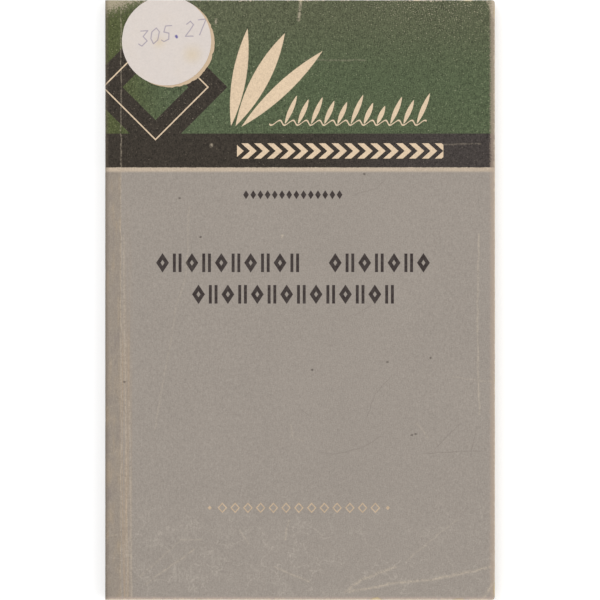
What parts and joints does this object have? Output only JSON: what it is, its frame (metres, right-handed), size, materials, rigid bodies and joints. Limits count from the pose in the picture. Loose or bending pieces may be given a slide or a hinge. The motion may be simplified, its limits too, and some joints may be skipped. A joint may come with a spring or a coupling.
{
  "type": "paperback book",
  "caption": "Closed side-stitched paperback with a printed paper cover, a round spine-side label and folded sections of leaves that turn.",
  "frame": {"origin": "middle of the closed book's footprint, on the outer face of the back cover, which it lies on", "axes": "+X from the spine to the fore-edge, +Y from the tail to the head, +Z from the back cover to the front cover"},
  "size_m": [0.13, 0.2, 0.005],
  "materials": {
    "cover_paper": "uncoated printed cover paper, worn",
    "page_paper": "uncoated book paper, yellowed",
    "label_paper": "matt paper label",
    "old_label_paper": "matt paper label, browned",
    "binding_glue": "dried binding glue",
    "staple_wire": "dull tinned steel wire"
  },
  "bodies": {
    "root": {"spine_cover": "cover_paper", "spine_glue": "binding_glue", "head_staple": "staple_wire", "tail_staple": "staple_wire", "section_1_folds": "page_paper", "section_2_folds": "page_paper", "section_3_folds": "page_paper", "section_4_folds": "page_paper", "section_5_folds": "page_paper"},
    "section_5": {"leaf_33": "page_paper", "leaf_34": "page_paper", "leaf_35": "page_paper", "leaf_36": "page_paper", "leaf_37": "page_paper", "leaf_38": "page_paper", "leaf_39": "page_paper", "leaf_40": "page_paper"},
    "section_4": {"leaf_25": "page_paper", "leaf_26": "page_paper", "leaf_27": "page_paper", "leaf_28": "page_paper", "leaf_29": "page_paper", "leaf_30": "page_paper", "leaf_31": "page_paper", "leaf_32": "page_paper"},
    "section_3": {"leaf_17": "page_paper", "leaf_18": "page_paper", "leaf_19": "page_paper", "leaf_20": "page_paper", "leaf_21": "page_paper", "leaf_22": "page_paper", "leaf_23": "page_paper", "leaf_24": "page_paper"},
    "section_2": {"leaf_09": "page_paper", "leaf_10": "page_paper", "leaf_11": "page_paper", "leaf_12": "page_paper", "leaf_13": "page_paper", "leaf_14": "page_paper", "leaf_15": "page_paper", "leaf_16": "page_paper"},
    "section_1": {"leaf_01": "page_paper", "leaf_02": "page_paper", "leaf_03": "page_paper", "leaf_04": "page_paper", "leaf_05": "page_paper", "leaf_06": "page_paper", "leaf_07": "page_paper", "leaf_08": "page_paper"},
    "front_cover": {"front_cover": "cover_paper", "under_label": "old_label_paper", "label": "label_paper"},
    "back_cover": {"back_cover": "cover_paper"}
  },
  "joints": [
    {"name": "section_5_turn", "type": "hinge", "parent": "root", "child": "section_5", "pos_m": [-0.0597, 0, 0.0051], "axis": [0, -1, 0], "range_deg": [0, 36]},
    {"name": "section_4_turn", "type": "hinge", "parent": "section_5", "child": "section_4", "pos_m": [-0.0597, 0, 0.0051], "axis": [0, -1, 0], "range_deg": [0, 36]},
    {"name": "section_3_turn", "type": "hinge", "parent": "section_4", "child": "section_3", "pos_m": [-0.0597, 0, 0.0051], "axis": [0, -1, 0], "range_deg": [0, 36]},
    {"name": "section_2_turn", "type": "hinge", "parent": "section_3", "child": "section_2", "pos_m": [-0.0597, 0, 0.0051], "axis": [0, -1, 0], "range_deg": [0, 36]},
    {"name": "section_1_turn", "type": "hinge", "parent": "section_2", "child": "section_1", "pos_m": [-0.0597, 0, 0.0051], "axis": [0, -1, 0], "range_deg": [0, 36]},
    {"name": "front_cover_hinge", "type": "hinge", "parent": "section_1", "child": "front_cover", "pos_m": [-0.0597, 0, 0.0051], "axis": [0, 1, 0], "range_deg": [-180, 0]},
    {"name": "back_cover_hinge", "type": "hinge", "parent": "root", "child": "back_cover", "pos_m": [-0.0597, 0, -0.00005], "axis": [0, -1, 0], "range_deg": [-180, 0]}
  ]
}
